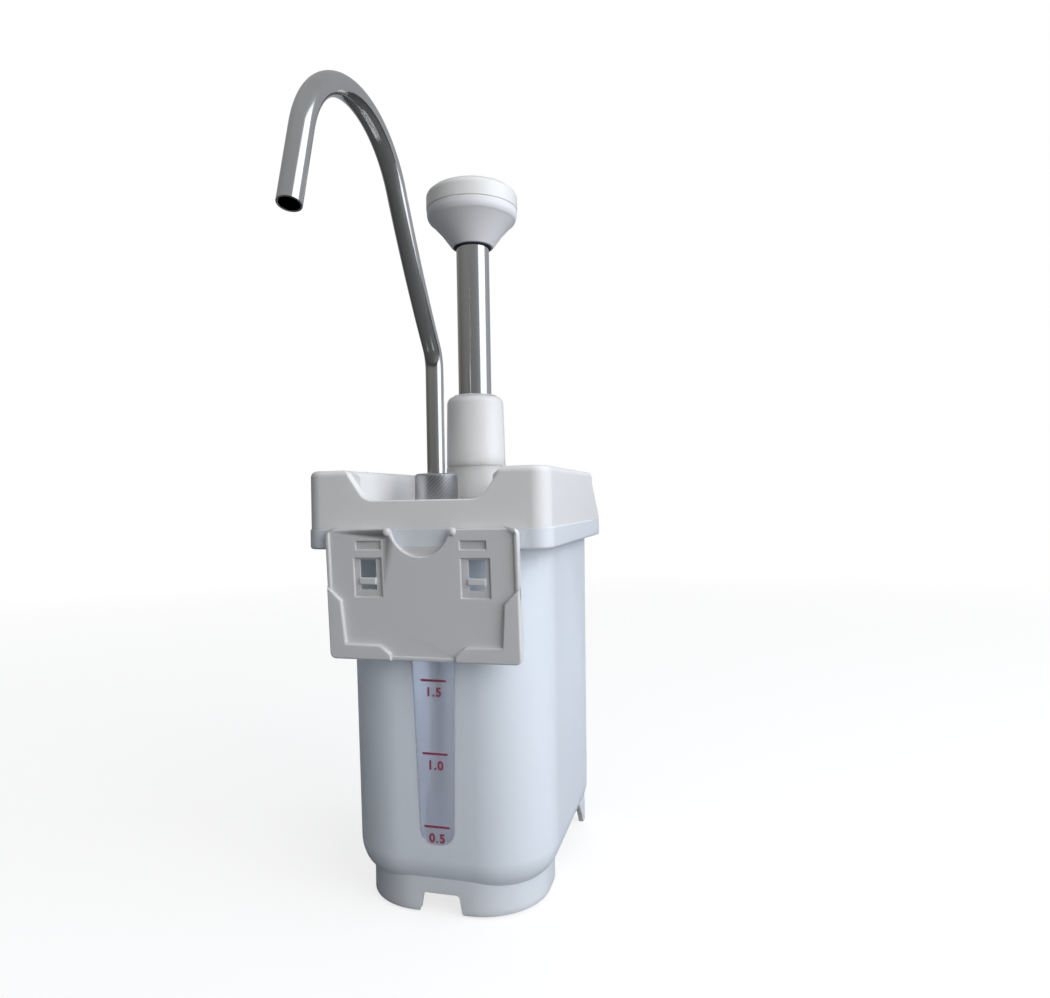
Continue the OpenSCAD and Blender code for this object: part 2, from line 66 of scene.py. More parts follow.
tank_low, tank_high = span("tank")
lid_low, lid_high = span("lid")
knob_low, knob_high = span("knob_body")
FRONT_TO_MIDDLE = 79
MIDDLE = tank_low.y + FRONT_TO_MIDDLE
SEAM = tank_high.z
DECK = lid_high.z
TANK_W = 115.4
TANK_FRONT = -68.6
TANK_REAR = 68.5
WALL = 2.4
FRONT_DRAFT = 4.1
SIDE_DRAFT = 2.4
REAR_DRAFT = 1.5
FRONT_CORNER = 36
REAR_CORNER = 9
RIM_LOW = 193
FLOOR_TOP = 30
LID_W = 130
LID_CORNER = 9
LID_WALL = 5
DECK_ROUND = 3.2
LEDGE_W = 132
LEDGE_FRONT_W = 128.8
LID_FRONT = lid_low.y - MIDDLE
DECK_REAR = 58.5
WELL_FLOOR = 212
WELL_HALF = 40
WELL_REAR = 37
MOUTH = 4.5
FLOOR_FILLET = 3
NOTCH_HALF = 31
SILL = 216.5
PUMP_Y = (knob_low.y + knob_high.y) / 2 - MIDDLE
spout_low, spout_high = span("spout_nut")
SPOUT_X = (spout_low.x + spout_high.x) / 2
SPOUT_Y = (spout_low.y + spout_high.y) / 2 - MIDDLE
PLATE_W = 101.6
PLATE_H = 66
PLATE_T = 2.6
PLATE_CORNER = 3
PLATE_FRONT = -82.7
PLATE_LEAN = radians(3.9)
WALL_TILT = atan(FRONT_DRAFT / (SEAM - FLOOR_TOP))


# ---- modelling helpers --------------------------------------------------------------

def activate(piece):
    bpy.ops.object.select_all(action="DESELECT")
    piece.select_set(True)
    bpy.context.view_layer.objects.active = piece


def apply_place(piece):
    activate(piece)
    bpy.ops.object.transform_apply(location=True, rotation=True, scale=True)
    return piece


def started(name):
    """Name the primitive just added and put its place in its mesh."""
    piece = bpy.context.object
    piece.name = name
    piece.data.name = name
    return apply_place(piece)


def edit():
    bpy.ops.object.mode_set(mode="EDIT")


def done():
    bpy.ops.object.mode_set(mode="OBJECT")


def choose(test, kind="VERT"):
    """Select what lies wholly where test(point in millimetres) says."""
    bpy.ops.mesh.select_mode(type=kind)
    bpy.ops.mesh.select_all(action="DESELECT")
    mesh = bmesh.from_edit_mesh(bpy.context.object.data)
    items = {"VERT": mesh.verts, "EDGE": mesh.edges, "FACE": mesh.faces}[kind]
    for item in items:
        corners = [item] if kind == "VERT" else item.verts
        if all(test(corner.co / MM) for corner in corners):
            item.select_set(True)
    bmesh.update_edit_mesh(bpy.context.object.data)


def shift(x=0, y=0, z=0):
    bpy.ops.transform.translate(value=(x * MM, y * MM, z * MM))


def stretch(x, y, centre=(0, 0)):
    bpy.ops.transform.resize(value=(x, y, 1), center_override=(centre[0] * MM, centre[1] * MM, 0))


def push(x=0, y=0, z=0):
    """Extrude the selected faces."""
    bpy.ops.mesh.extrude_region_move(TRANSFORM_OT_translate={"value": (x * MM, y * MM, z * MM)})


def pull_edges(x=0, y=0, z=0):
    """Extrude the selected edges."""
    bpy.ops.mesh.extrude_edges_move(TRANSFORM_OT_translate={"value": (x * MM, y * MM, z * MM)})


def inset(thickness, depth=0):
    bpy.ops.mesh.inset(thickness=thickness * MM, depth=depth * MM)


def round_in(radius, steps=5):
    """Round over the rim of the selected end face with a quarter circle."""
    for i in range(steps):
        a, b = (k / steps * pi / 2 for k in (i, i + 1))
        inset(radius * (cos(a) - cos(b)), radius * (sin(b) - sin(a)))


def outwards():
    bpy.ops.mesh.select_all(action="SELECT")
    bpy.ops.mesh.remove_doubles(threshold=0.002 * MM)
    bpy.ops.mesh.normals_make_consistent(inside=False)


def outline(name, width, front, rear, z, front_r=0, rear_r=0, steps=10):
    """A flat rounded rectangle, left in edit mode with its face selected."""
    bpy.ops.object.select_all(action="DESELECT")
    bpy.ops.mesh.primitive_plane_add(size=MM, location=(0, (front + rear) / 2 * MM, z * MM))
    bpy.context.object.scale = (width, rear - front, 1)
    piece = started(name)
    edit()
    for radius, y in ((front_r, front), (rear_r, rear)):
        if radius:
            choose(lambda p: abs(p.y - y) < 0.01 and abs(abs(p.x) - width / 2) < 0.01)
            bpy.ops.mesh.bevel(offset=radius * MM, segments=steps, affect="VERTICES")
    bpy.ops.mesh.select_mode(type="FACE")
    bpy.ops.mesh.select_all(action="SELECT")
    return piece


def prism(name, width, front, rear, low, high, front_r=0, rear_r=0, steps=10):
    piece = outline(name, width, front, rear, low, front_r, rear_r, steps)
    push(z=high - low)
    outwards()
    done()
    return piece


def block(name, low, high):
    bpy.ops.object.select_all(action="DESELECT")
    middle = (Vector(low) + Vector(high)) / 2 * MM
    bpy.ops.mesh.primitive_cube_add(size=MM, location=middle)
    bpy.context.object.scale = Vector(high) - Vector(low)
    return started(name)


def keep_depth_edges():
    """Of the selected edges keep those that run front to back."""
    mesh = bmesh.from_edit_mesh(bpy.context.object.data)
    for edge in mesh.edges:
        run = edge.verts[0].co - edge.verts[1].co
        if edge.select and abs(run.x) + abs(run.z) > 1e-6:
            edge.select_set(False)
    bmesh.update_edit_mesh(bpy.context.object.data)


def stood_up(name, points, low, high, rounding=0):
    """A panel with corners [across, up] from depth low to depth high, its front rounded over."""
    bpy.ops.object.select_all(action="DESELECT")
    bpy.ops.mesh.primitive_circle_add(vertices=len(points), radius=MM, fill_type="NGON",
                                      location=(0, high * MM, 0), rotation=(radians(90), 0, 0))
    panel = started(name)
    edit()
    bpy.ops.mesh.select_mode(type="VERT")
    for i, (x, z) in enumerate(points):
        bpy.ops.mesh.select_all(action="DESELECT")
        mesh = bmesh.from_edit_mesh(panel.data)
        mesh.verts.ensure_lookup_table()
        mesh.verts[i].select_set(True)
        here = mesh.verts[i].co / MM
        bmesh.update_edit_mesh(panel.data)
        shift(x=x - here.x, z=z - here.z)
    bpy.ops.mesh.select_mode(type="FACE")
    bpy.ops.mesh.select_all(action="SELECT")
    push(y=low + rounding - high)
    outwards()
    if rounding:
        choose(lambda p: p.y < low + rounding + 0.01, "FACE")
        round_in(rounding, 4)
    done()
    return panel


def rod(name, radius, low, high, centre=(0, 0), sides=48):
    bpy.ops.object.select_all(action="DESELECT")
    place = (centre[0] * MM, centre[1] * MM, (low + high) / 2 * MM)
    bpy.ops.mesh.primitive_cylinder_add(vertices=sides, radius=radius * MM,
                                        depth=(high - low) * MM, location=place)
    return started(name)


def arc(centre, height, radius, start, end, steps=6):
    """Points [radius from the axis, height] along part of a circle, angles in degrees."""
    turns = [radians(start + (end - start) * i / steps) for i in range(steps + 1)]
    return [(centre + radius * cos(a), height + radius * sin(a)) for a in turns]


def turned(name, profile, centre=(0, 0), sides=96, closed=False):
    """A ring drawn up, in or out from point to point of a profile, as on a lathe."""
    bpy.ops.object.select_all(action="DESELECT")
    x, y = centre
    first = profile[0]
    bpy.ops.mesh.primitive_circle_add(vertices=sides, radius=first[0] * MM,
                                      location=(x * MM, y * MM, first[1] * MM))
    piece = started(name)
    points = list(profile) + ([first] if closed else [])
    edit()
    bpy.ops.mesh.select_mode(type="EDGE")
    bpy.ops.mesh.select_all(action="SELECT")
    for old, new in zip(points, points[1:]):
        pull_edges(z=new[1] - old[1])
        stretch(new[0] / old[0], new[0] / old[0], centre)
    if not closed:
        bpy.ops.mesh.edge_face_add()
        choose(lambda p: abs(p.z - first[1]) < 0.001 and
               abs(hypot(p.x - x, p.y - y) - first[0]) < 0.01, "EDGE")
        bpy.ops.mesh.edge_face_add()
    outwards()
    done()
    return piece


def combine(piece, other, how="DIFFERENCE"):
    cut = piece.modifiers.new("combine", "BOOLEAN")
    cut.operation = how
    cut.solver = "EXACT"
    cut.object = other
    activate(piece)
    bpy.ops.object.modifier_apply(modifier=cut.name)
    bpy.data.objects.remove(other)
    return piece


def add(piece, other):
    return combine(piece, other, "UNION")


def mirrored(piece):
    """A copy on the other side of X = 0, faces outwards."""
    twin = piece.copy()
    twin.data = piece.data.copy()
    bpy.context.scene.collection.objects.link(twin)
    twin.scale.x = -1
    apply_place(twin)
    edit()
    outwards()
    done()
    return twin


def thicken(piece, thickness):
    wall = piece.modifiers.new("wall", "SOLIDIFY")
    wall.thickness = thickness * MM
    wall.offset = -1
    wall.use_even_offset = True
    activate(piece)
    bpy.ops.object.modifier_apply(modifier=wall.name)


def soften(piece, width, test, angle=42, segments=3):
    """Round every edge sharper than angle that lies where test says."""
    activate(piece)
    edit()
    bpy.ops.mesh.select_mode(type="EDGE")
    bpy.ops.mesh.select_all(action="DESELECT")
    bpy.ops.mesh.edges_select_sharp(sharpness=radians(angle))
    mesh = bmesh.from_edit_mesh(piece.data)
    for edge in mesh.edges:
        if edge.select and not all(test(corner.co / MM) for corner in edge.verts):
            edge.select_set(False)
    bmesh.update_edit_mesh(piece.data)
    bpy.ops.mesh.bevel(offset=width * MM, segments=segments, affect="EDGES")
    done()


def smooth(piece, angle=40):
    activate(piece)
    bpy.ops.object.shade_smooth_by_angle(angle=radians(angle))
    even = piece.modifiers.new("even", "WEIGHTED_NORMAL")
    even.keep_sharp = True
    bpy.ops.object.modifier_apply(modifier=even.name)


def settle(piece, body, node, material, angle=40):
    """Finish a piece: smooth it, move it to the frame, dress it, attach it to its body and hide
    the frame node it stands in for.
    """
    smooth(piece, angle)
    piece.location.y += MIDDLE * MM
    apply_place(piece)
    piece.data.materials.clear()
    piece.data.materials.append(material)
    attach(piece, body)
    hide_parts(node)
    return piece


# ---- materials ----------------------------------------------------------------------

def node_group(name, inputs, outputs):
    tree = bpy.data.node_groups.new(name, "ShaderNodeTree")
    for label, value in inputs.items():
        kind = "NodeSocketColor" if hasattr(value, "__len__") else "NodeSocketFloat"
        socket = tree.interface.new_socket(label, in_out="INPUT", socket_type=kind)
        socket.default_value = value
    for label, kind in outputs.items():
        tree.interface.new_socket(label, in_out="OUTPUT", socket_type=kind)
    return tree, tree.nodes.new("NodeGroupInput"), tree.nodes.new("NodeGroupOutput")


def make(tree, kind, **values):
    """Add a node; values set its properties or, with a number or colour, its sockets."""
    node = tree.nodes.new(kind)
    for key, value in values.items():
        if hasattr(node, key):
            setattr(node, key, value)
        else:
            node.inputs[key.replace("_", " ")].default_value = value
    return node


def math_node(tree, operation, a, b):
    node = make(tree, "ShaderNodeMath", operation=operation)
    for socket, value in zip(node.inputs, (a, b)):
        if isinstance(value, (int, float)):
            socket.default_value = value
        else:
            tree.links.new(value, socket)
    return node.outputs[0]


def mix_colour(tree, factor, a, b, blend="MIX"):
    node = make(tree, "ShaderNodeMix", data_type="RGBA", blend_type=blend)
    for socket, value in ((node.inputs[0], factor), (node.inputs[6], a), (node.inputs[7], b)):
        if isinstance(value, (int, float, tuple)):
            socket.default_value = value
        else:
            tree.links.new(value, socket)
    return node.outputs[2]


def moulded_skin():
    """Fine pebble of a moulded face and slow drift of tone across it."""
    tree, given, out = node_group("moulded_skin",
        {"Grain per metre": 1800.0, "Drift per metre": 18.0, "Sink": 0.35},
        {"Height": "NodeSocketFloat", "Drift": "NodeSocketFloat"})
    place = make(tree, "ShaderNodeTexCoord")
    grain = make(tree, "ShaderNodeTexNoise", Detail=3.0, Roughness=0.55)
    drift = make(tree, "ShaderNodeTexNoise", Detail=2.0, Roughness=0.5)
    for noise, scale in ((grain, "Grain per metre"), (drift, "Drift per metre")):
        tree.links.new(place.outputs["Object"], noise.inputs["Vector"])
        tree.links.new(given.outputs[scale], noise.inputs["Scale"])
    slow = math_node(tree, "MULTIPLY", drift.outputs[0], given.outputs["Sink"])
    total = math_node(tree, "ADD", grain.outputs[0], slow)
    tree.links.new(total, out.inputs["Height"])
    tree.links.new(drift.outputs[0], out.inputs["Drift"])
    return tree


def edge_highlight_and_hollow_shade():
    """Masks from pointiness: Edge is 1 on rounded outer edges, where painted highlight goes, 0
    elsewhere; Hollow is 1 in the hollows, where painted shade goes.
    """
    tree, given, out = node_group("edge_highlight_and_hollow_shade",
        {"Start": 0.03, "Reach": 0.06, "Patchy per metre": 260.0},
        {"Edge": "NodeSocketFloat", "Hollow": "NodeSocketFloat"})
    place = make(tree, "ShaderNodeTexCoord")
    shape = make(tree, "ShaderNodeNewGeometry")
    noise = make(tree, "ShaderNodeTexNoise", Detail=3.0)
    tree.links.new(place.outputs["Object"], noise.inputs["Vector"])
    tree.links.new(given.outputs["Patchy per metre"], noise.inputs["Scale"])
    away = math_node(tree, "SUBTRACT", shape.outputs["Pointiness"], 0.5)
    for label, sign in (("Edge", 1), ("Hollow", -1)):
        beyond = math_node(tree, "SUBTRACT", math_node(tree, "MULTIPLY", away, sign),
                           given.outputs["Start"])
        share = math_node(tree, "DIVIDE", beyond, given.outputs["Reach"])
        patchy = math_node(tree, "MULTIPLY", share, noise.outputs[0])
        limited = math_node(tree, "MINIMUM", math_node(tree, "MAXIMUM", patchy, 0.0), 1.0)
        tree.links.new(limited, out.inputs[label])
    return tree


def polish_lines():
    """Fine lines left along or round a part by drawing and polishing."""
    tree, given, out = node_group("polish_lines",
        {"Across per metre": 2600.0, "Along per metre": 12.0},
        {"Height": "NodeSocketFloat", "Tone": "NodeSocketFloat"})
    place = make(tree, "ShaderNodeTexCoord")
    size = make(tree, "ShaderNodeCombineXYZ")
    for axis, label in (("X", "Across per metre"), ("Y", "Across per metre"),
                        ("Z", "Along per metre")):
        tree.links.new(given.outputs[label], size.inputs[axis])
    scaled = make(tree, "ShaderNodeVectorMath", operation="MULTIPLY")
    tree.links.new(place.outputs["Object"], scaled.inputs[0])
    tree.links.new(size.outputs[0], scaled.inputs[1])
    fine = make(tree, "ShaderNodeTexNoise", Scale=1.0, Detail=2.0)
    broad = make(tree, "ShaderNodeTexNoise", Scale=0.05, Detail=2.0)
    for noise in (fine, broad):
        tree.links.new(scaled.outputs[0], noise.inputs["Vector"])
    tree.links.new(fine.outputs[0], out.inputs["Height"])
    tree.links.new(broad.outputs[0], out.inputs["Tone"])
    return tree


SKIN = moulded_skin()
EDGES = edge_highlight_and_hollow_shade()
LINES = polish_lines()


def begin_material(name):
    material = bpy.data.materials.new(name)
    material.use_nodes = True
    tree = material.node_tree
    return material, tree, tree.nodes["Principled BSDF"]


def place_group(tree, group, **values):
    node = tree.nodes.new("ShaderNodeGroup")
    node.node_tree = group
    for label, value in values.items():
        node.inputs[label.replace("_", " ")].default_value = value
    return node


def ranged(tree, value, low, high):
    """A 0 to 1 value spread over another range."""
    node = make(tree, "ShaderNodeMapRange")
    tree.links.new(value, node.inputs["Value"])
    node.inputs["To Min"].default_value = low
    node.inputs["To Max"].default_value = high
    return node.outputs[0]


def bump(tree, shader, height, strength, distance):
    node = make(tree, "ShaderNodeBump", Strength=strength, Distance=distance)
    tree.links.new(height, node.inputs["Height"])
    tree.links.new(node.outputs[0], shader.inputs["Normal"])


def plastic(name, light, dark, edge, roughness, grain=1800.0, depth=0.15, glow=0.0, coat=0.0,
            glow_depth=0.006):
    """Moulded plastic: drifting tone, painted highlight on rounded edges, painted shade in
    hollows, fine pebble.
    """
    material, tree, shader = begin_material(name)
    skin = place_group(tree, SKIN, Grain_per_metre=grain)
    light_shade_masks = place_group(tree, EDGES)
    base = mix_colour(tree, skin.outputs["Drift"], (*light, 1), (*dark, 1))
    # Painted shade: hollows are greyed towards 0.42.
    hollow_shaded = mix_colour(tree, math_node(tree, "MULTIPLY", light_shade_masks.outputs["Hollow"], 0.35), base,
                        (0.42, 0.42, 0.42, 1))
    # Painted highlight: rounded outer edges take the lighter edge colour.
    edge_highlighted = mix_colour(tree, light_shade_masks.outputs["Edge"], hollow_shaded, (*edge, 1))
    tree.links.new(edge_highlighted, shader.inputs["Base Color"])
    low, high = roughness
    tree.links.new(ranged(tree, skin.outputs["Drift"], low, high), shader.inputs["Roughness"])
    bump(tree, shader, skin.outputs["Height"], depth, 0.0001)
    shader.inputs["Subsurface Weight"].default_value = glow
    shader.inputs["Subsurface Radius"].default_value = (0.9, 0.95, 1.0)
    shader.inputs["Subsurface Scale"].default_value = glow_depth
    shader.inputs["Coat Weight"].default_value = coat
    shader.inputs["Coat Roughness"].default_value = 0.12
    return material


def polished_steel(name, tint, roughness, along=12.0, across=2600.0, depth=0.04):
    material, tree, shader = begin_material(name)
    lines = place_group(tree, LINES, Across_per_metre=across, Along_per_metre=along)
    skin = place_group(tree, SKIN, Grain_per_metre=400.0)
    darker = tuple(0.86 * part for part in tint)
    base = mix_colour(tree, lines.outputs["Tone"], (*tint, 1), (*darker, 1))
    tree.links.new(base, shader.inputs["Base Color"])
    low, high = roughness
    tree.links.new(ranged(tree, skin.outputs["Drift"], low, high), shader.inputs["Roughness"])
    bump(tree, shader, lines.outputs["Height"], depth, 0.00005)
    shader.inputs["Metallic"].default_value = 1.0
    return material


def knurled_steel(name):
    material, tree, shader = begin_material(name)
    light_shade_masks = place_group(tree, EDGES, Start=0.0, Reach=0.12, Patchy_per_metre=700.0)
    skin = place_group(tree, SKIN, Grain_per_metre=1500.0)
    base = mix_colour(tree, skin.outputs["Drift"], (0.52, 0.52, 0.53, 1), (0.40, 0.40, 0.41, 1))
    # Painted shade: the knurl's hollows are darkened almost to black.
    dark = mix_colour(tree, light_shade_masks.outputs["Hollow"], base, (0.12, 0.12, 0.13, 1))
    # Painted highlight: the raised edges of the knurl are lightened.
    bright = mix_colour(tree, light_shade_masks.outputs["Edge"], dark, (0.75, 0.75, 0.76, 1))
    tree.links.new(bright, shader.inputs["Base Color"])
    tree.links.new(ranged(tree, skin.outputs["Drift"], 0.28, 0.45), shader.inputs["Roughness"])
    bump(tree, shader, skin.outputs["Height"], 0.2, 0.0001)
    shader.inputs["Metallic"].default_value = 1.0
    return material


def rubber(name, light, dark):
    material, tree, shader = begin_material(name)
    skin = place_group(tree, SKIN, Grain_per_metre=2500.0)
    base = mix_colour(tree, skin.outputs["Drift"], (*light, 1), (*dark, 1))
    tree.links.new(base, shader.inputs["Base Color"])
    tree.links.new(ranged(tree, skin.outputs["Drift"], 0.45, 0.7), shader.inputs["Roughness"])
    bump(tree, shader, skin.outputs["Height"], 0.3, 0.0001)
    return material


def sight_plastic(name):
    """Clearer band: the hollow tank shows through it, dimly."""
    material, tree, shader = begin_material(name)
    skin = place_group(tree, SKIN, Grain_per_metre=900.0, Drift_per_metre=30.0)
    base = mix_colour(tree, skin.outputs["Drift"], (0.78, 0.80, 0.87, 1), (0.70, 0.72, 0.80, 1))
    tree.links.new(base, shader.inputs["Base Color"])
    tree.links.new(ranged(tree, skin.outputs["Drift"], 0.2, 0.3), shader.inputs["Roughness"])
    bump(tree, shader, skin.outputs["Height"], 0.1, 0.0001)
    shader.inputs["Transmission Weight"].default_value = 0.6
    shader.inputs["IOR"].default_value = 1.25
    return material


def print_ink(name):
    material, tree, shader = begin_material(name)
    skin = place_group(tree, SKIN, Grain_per_metre=3500.0, Drift_per_metre=500.0)
    base = mix_colour(tree, skin.outputs["Drift"], (0.30, 0.025, 0.075, 1), (0.42, 0.08, 0.13, 1))
    tree.links.new(base, shader.inputs["Base Color"])
    tree.links.new(ranged(tree, skin.outputs["Drift"], 0.35, 0.6), shader.inputs["Roughness"])
    bump(tree, shader, skin.outputs["Height"], 0.2, 0.00005)
    return material


# The third colour of each plastic is its painted highlight on rounded outer edges.
milky = plastic("milky_tank", (0.80, 0.85, 0.915), (0.765, 0.82, 0.885), (0.84, 0.88, 0.93),
                (0.34, 0.46), grain=900.0, depth=0.08, glow=0.35)
lid_white = plastic("lid_white", (0.86, 0.86, 0.855), (0.82, 0.82, 0.82), (0.90, 0.90, 0.90),
                    (0.34, 0.44), glow=0.1)
# Set darker than lid_white: painted shade for the plate's downward lean.
plate_white_shaded = plastic("plate_white_shaded", (0.76, 0.76, 0.765), (0.72, 0.72, 0.73), (0.84, 0.84, 0.84),
                      (0.30, 0.40), glow=0.1)
sleeve_white = plastic("sleeve_white", (0.91, 0.92, 0.91), (0.88, 0.89, 0.88), (0.94, 0.94, 0.94),
                       (0.2, 0.28), grain=1200.0, depth=0.05, glow=0.9, coat=0.3, glow_depth=0.02)
cap_white = plastic("cap_white", (0.90, 0.90, 0.885), (0.86, 0.86, 0.85), (0.93, 0.93, 0.93),
                    (0.22, 0.32), depth=0.08, coat=0.3)
knob_white = plastic("knob_white", (0.88, 0.88, 0.90), (0.85, 0.85, 0.87), (0.91, 0.91, 0.91),
                     (0.4, 0.5), depth=0.12)
pump_white = plastic("pump_white", (0.76, 0.77, 0.76), (0.72, 0.73, 0.72), (0.85, 0.85, 0.85),
                     (0.36, 0.48), grain=1200.0)
bright_steel = polished_steel("bright_steel", (0.66, 0.655, 0.64), (0.10, 0.17))
spring_wire = polished_steel("spring_wire", (0.58, 0.58, 0.58), (0.22, 0.32))
knurl = knurled_steel("knurl")
seal_black = rubber("seal_black", (0.035, 0.036, 0.04), (0.02, 0.02, 0.024))
ring_dark = rubber("ring_dark", (0.035, 0.045, 0.075), (0.02, 0.026, 0.045))
window_clear = sight_plastic("window_clear")
red_ink = print_ink("red_ink")


# ---- camera -------------------------------------------------------------------------

def look(place, yaw, pitch, roll, lens):
    """A camera at place, turned yaw from +Y towards -X, tipped up by pitch and rolled."""
    ahead = Vector((-sin(yaw) * cos(pitch), cos(yaw) * cos(pitch), sin(pitch)))
    right = Vector((cos(yaw), sin(yaw), 0))
    up = right.cross(ahead)
    side = right * cos(roll) + up * sin(roll)
    top = up * cos(roll) - right * sin(roll)
    turn = Matrix((side, top, -ahead)).transposed().to_4x4()
    lens_data = bpy.data.cameras.new("camera")
    lens_data.lens = lens
    lens_data.sensor_width = 36
    lens_data.clip_start = 0.01
    camera = bpy.data.objects.new("camera", lens_data)
    camera.matrix_world = Matrix.Translation(place) @ turn
    bpy.context.scene.collection.objects.link(camera)
    bpy.context.scene.camera = camera


look(Vector((0.1431, -0.37477, 0.21557)), radians(14.478), radians(0.047), radians(-1.01), 25.6)


# ---- tank ---------------------------------------------------------------------------

def tank_shell():
    """Drafted wall that rolls under into the floor, open at the top."""
    low_w = TANK_W - SIDE_DRAFT
    low_front = TANK_FRONT + FRONT_DRAFT
    low_rear = TANK_REAR - REAR_DRAFT
    shell = outline("tank_body", low_w, low_front, low_rear, FLOOR_TOP, FRONT_CORNER,
                    REAR_CORNER, 16)
    for thickness, depth in ((0.3, 3), (0.8, 3), (0.9, 2.4), (1.1, 2.0), (1.4, 1.8), (1.6, 1.6),
                             (1.5, 1.2)):
        inset(thickness, -depth)
    inset(1.0, -1.0)
    choose(lambda p: abs(p.z - FLOOR_TOP) < 0.01, "EDGE")
    middle = (low_front + low_rear) / 2
    pull_edges(z=SEAM - 1 - FLOOR_TOP)
    length = TANK_REAR - TANK_FRONT
    bpy.ops.transform.resize(value=(TANK_W / low_w, length / (low_rear - low_front), 1),
                             center_override=(0, middle * MM, 0))
    shift(y=(TANK_FRONT + TANK_REAR) / 2 - middle)
    outwards()
    done()
    thicken(shell, WALL)
    return shell


def rim():
    """Turned-down rim: a flat top with a skirt hanging all round."""
    front, rear = tank_low.y - MIDDLE, tank_high.y - MIDDLE
    width = tank_high.x - tank_low.x
    piece = outline("rim", width, front, rear, RIM_LOW, 10, 10, 8)
    push(z=SEAM - RIM_LOW - 0.6)
    round_in(0.6, 2)
    choose(lambda p: abs(p.z - RIM_LOW) < 0.01, "FACE")
    round_in(1.4, 4)
    outwards()
    done()
    combine(piece, prism("rim_hollow", width - 5.6, front + 2.8, rear - 2.8, 180, SEAM - 2.5,
                         7.2, 7.2, 8))
    opening = prism("mouth", TANK_W - 2 * WALL, TANK_FRONT + WALL, TANK_REAR - WALL, 180,
                    SEAM + 5, FRONT_CORNER - WALL, REAR_CORNER - WALL, 16)
    return combine(piece, opening)


def foot_ring():
    ring = outline("foot_ring", 100, -61, 19.5, 19.5, 35, 35, 16)
    push(z=-18.3)
    round_in(1.2, 3)
    outwards()
    done()
    combine(ring, prism("ring_hollow", 95, -58.5, 17, -1, 15.2, 32.5, 32.5, 16))
    half = [(15, -2), (14.4, -0.3), (12.6, 0.5), (11.6, 1.7), (11.2, 3.4), (10.2, 9.6),
            (9.4, 10.7), (8.4, 11)]
    notch = stood_up("notch", half + [(-x, z) for x, z in reversed(half)], -66, -50)
    return combine(ring, notch)


def rear_foot():
    """Flat rib under a rear corner, tapering down to a toe on the resting plane."""
    stations = ((40, 60, 67.4), (28, 56, 69.5), (18, 51, 70.6), (11, 57, 71.1), (7, 60.6, 71.2),
                (2, 64.2, 71.2), (0.6, 65, 70.9), (0, 66.2, 70.2))
    z, front, rear = stations[0]
    foot = outline("rear_foot", 3, front, rear, z)
    for (z0, front0, rear0), (z1, front1, rear1) in zip(stations, stations[1:]):
        push(z=z1 - z0)
        old, new = (front0 + rear0) / 2, (front1 + rear1) / 2
        stretch(1, (rear1 - front1) / (rear0 - front0), (0, old))
        shift(y=new - old)
    outwards()
    done()
    foot.location.x = 51.1 * MM
    return apply_place(foot)


def window_outline(name, grow, depth_low, depth_high):
    """Tapering band with round ends, standing in the plane of the front wall."""
    bpy.ops.object.select_all(action="DESELECT")
    bpy.ops.mesh.primitive_plane_add(size=MM, location=(0, 0, 112 * MM))
    bpy.context.object.rotation_euler.x = radians(90)
    top_width, low_width = 26.4, 18.4
    bpy.context.object.scale = (top_width + 2 * grow, 148 + 2 * grow, 1)
    band = started(name)
    edit()
    choose(lambda p: p.z < 100)
    bpy.ops.transform.resize(value=(low_width / top_width, 1, 1), center_override=(0, 0, 0))
    bpy.ops.mesh.bevel(offset=7.6 * MM, segments=8, affect="VERTICES")
    choose(lambda p: p.z > 180)
    bpy.ops.mesh.bevel(offset=3 * MM, segments=5, affect="VERTICES")
    bpy.ops.mesh.select_mode(type="FACE")
    bpy.ops.mesh.select_all(action="SELECT")
    shift(y=depth_low)
    push(y=depth_high - depth_low)
    outwards()
    done()
    return band


def on_front_wall(piece):
    """Lean a piece modelled on the plane y = 0 back with the drafted front wall."""
    piece.matrix_world = (Matrix.Translation((0, TANK_FRONT * MM, SEAM * MM))
                          @ Matrix.Rotation(WALL_TILT, 4, "X")
                          @ Matrix.Translation((0, 0, -SEAM * MM)))
    return apply_place(piece)


def make_tank():
    tank = tank_shell()
    add(tank, rim())
    add(tank, foot_ring())
    foot = rear_foot()
    add(tank, mirrored(foot))
    add(tank, foot)
    combine(tank, on_front_wall(window_outline("window_cut", 0, -2, 6)))
    settle(tank, "container", "tank", milky, 24)
    window = on_front_wall(window_outline("window_band", -0.05, 0.02, 1.12))
    settle(window, "container", "sight_window", window_clear)


def scale_mark(level, figure):
    """One printed line with its figure under it, on the plane y = 0."""
    line = block("line", (-6.9, -0.13, level - 0.1), (6.9, -0.01, level + 1.05))
    edit()
    choose(lambda p: True, "EDGE")
    bpy.ops.mesh.bevel(offset=0.04 * MM, segments=1, affect="EDGES")
    done()
    bpy.ops.object.select_all(action="DESELECT")
    bpy.ops.object.text_add(rotation=(radians(90), 0, 0))
    text = bpy.context.object
    text.data.body = figure
    text.data.align_x = "CENTER"
    text.data.size = 6.4 * MM
    text.data.space_character = 1.15
    text.data.offset = 0.2 * MM
    text.data.extrude = 0.06 * MM
    text.data.resolution_u = 4
    bpy.ops.object.convert(target="MESH")
    text.location = (0, -0.07 * MM, (level - 7.6) * MM)
    apply_place(text)
    line.select_set(True)
    text.select_set(True)
    bpy.context.view_layer.objects.active = line
    bpy.ops.object.join()
    return line


def make_scale():
    marks = [scale_mark(level, figure) for level, figure in
             ((47, "0.5"), (85, "1.0"), (123, "1.5"))]
    bpy.ops.object.select_all(action="DESELECT")
    for mark in marks:
        mark.select_set(True)
    bpy.context.view_layer.objects.active = marks[0]
    bpy.ops.object.join()
    marks[0].name = "scale_print"
    settle(on_front_wall(marks[0]), "container", "level_marks", red_ink)


# ---- label holder -------------------------------------------------------------------

